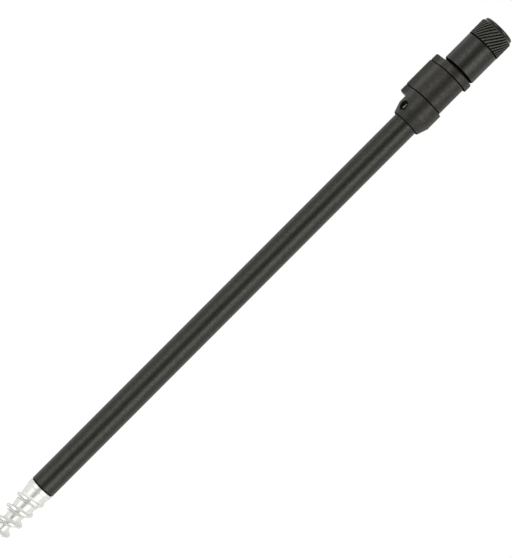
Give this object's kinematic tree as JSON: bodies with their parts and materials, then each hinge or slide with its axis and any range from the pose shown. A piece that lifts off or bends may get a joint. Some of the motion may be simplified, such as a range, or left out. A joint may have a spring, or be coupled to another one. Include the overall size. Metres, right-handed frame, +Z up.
{
  "type": "bank stick",
  "caption": "Telescopic bank stick with a screw-in auger point, flip-lever clamp collar and a quick-release threaded head with a knurled lock ring.",
  "frame": {"origin": "on the stick's axis at the lower end of the outer tube, where the auger point enters it: the line that meets the ground in use", "axes": "+Z up along the stick towards the threaded head; one of the two turning-bar holes faces 3 degrees off -Y, towards -X; the clamp's pivot lies 205 degrees round from +X"},
  "size_m": [0.0273, 0.0232, 0.4362],
  "materials": {
    "bare_aluminium": "bright turned aluminium, fine tool lines",
    "anodised_tube": "satin black anodised drawn tube",
    "anodised_collar": "satin black anodised, bead blasted",
    "anodised_lever": "satin black anodised",
    "anodised_head": "satin black anodised, turned",
    "anodised_ring": "satin black anodised, spiral knurled",
    "black_steel": "black oxide steel",
    "bright_steel": "polished bearing ball",
    "spring_steel": "phosphated spring steel",
    "black_nylon": "moulded nylon",
    "washer_black": "thin nylon washer",
    "acetal": "machined acetal",
    "rubber": "nitrile O-ring"
  },
  "bodies": {
    "stick_base": {"auger_point": "bare_aluminium", "outer_tube": "anodised_tube", "collar_body": "anodised_collar", "upper_flange": "anodised_collar", "pivot_screw": "black_steel", "lever_washer_lower": "washer_black", "lever_washer_upper": "washer_black", "collar_grub_screw": "black_steel", "guide_bush_lower": "black_nylon", "guide_bush_upper": "black_nylon"},
    "slide_bush": {"stop_bush": "black_nylon"},
    "inner_pole_and_head": {"inner_pole": "anodised_tube", "pole_end_plug": "black_nylon", "head_body": "anodised_head", "head_grub_screw": "black_steel", "ring_washer": "washer_black", "ring_circlip": "spring_steel"},
    "clamp_lever": {"cam_lever": "anodised_lever"},
    "clamp_shoe": {"brake_shoe": "acetal"},
    "lock_ring_body": {"lock_ring": "anodised_ring"},
    "ball_1": {"lock_ball_1": "bright_steel"},
    "ball_2": {"lock_ball_2": "bright_steel"},
    "ball_3": {"lock_ball_3": "bright_steel"},
    "alarm_adaptor": {"socket_adaptor": "anodised_head", "adaptor_o_ring": "rubber"}
  },
  "joints": [
    {"name": "pole_slide", "type": "slide", "parent": "stick_base", "child": "slide_bush", "axis": [0, 0, 1], "range_m": [0, 0.27]},
    {"name": "pole_swivel", "type": "hinge", "parent": "slide_bush", "child": "inner_pole_and_head", "pos_m": [0, 0, 0.024], "axis": [0, 0, 1], "continuous": true},
    {"name": "lever_hinge", "type": "hinge", "parent": "stick_base", "child": "clamp_lever", "pos_m": [-0.01217, -0.00568, 0.328], "axis": [0, 0, -1], "range_deg": [0, 100]},
    {"name": "shoe_slide", "type": "slide", "parent": "stick_base", "child": "clamp_shoe", "axis": [-0.9063, -0.4226, 0], "range_m": [0, 0.00031]},
    {"name": "ring_turn", "type": "hinge", "parent": "inner_pole_and_head", "child": "lock_ring_body", "pos_m": [0, 0, 0.37], "axis": [0, 0, 1], "range_deg": [0, 60]},
    {"name": "ball_1_slide", "type": "slide", "parent": "inner_pole_and_head", "child": "ball_1", "axis": [0, -1, 0], "range_m": [0, 0.00081]},
    {"name": "ball_2_slide", "type": "slide", "parent": "inner_pole_and_head", "child": "ball_2", "axis": [0.866, 0.5, 0], "range_m": [0, 0.00081]},
    {"name": "ball_3_slide", "type": "slide", "parent": "inner_pole_and_head", "child": "ball_3", "axis": [-0.866, 0.5, 0], "range_m": [0, 0.00081]},
    {"name": "adaptor_lift", "type": "slide", "parent": "inner_pole_and_head", "child": "alarm_adaptor", "axis": [0, 0, 1], "range_m": [0, 0.03]}
  ],
  "couplings": [
    {"joint": "shoe_slide", "follows": "lever_hinge", "m_per_rad": 0.00017189},
    {"joint": "ball_1_slide", "follows": "ring_turn", "m_per_rad": 0.00076394},
    {"joint": "ball_2_slide", "follows": "ring_turn", "m_per_rad": 0.00076394},
    {"joint": "ball_3_slide", "follows": "ring_turn", "m_per_rad": 0.00076394}
  ]
}
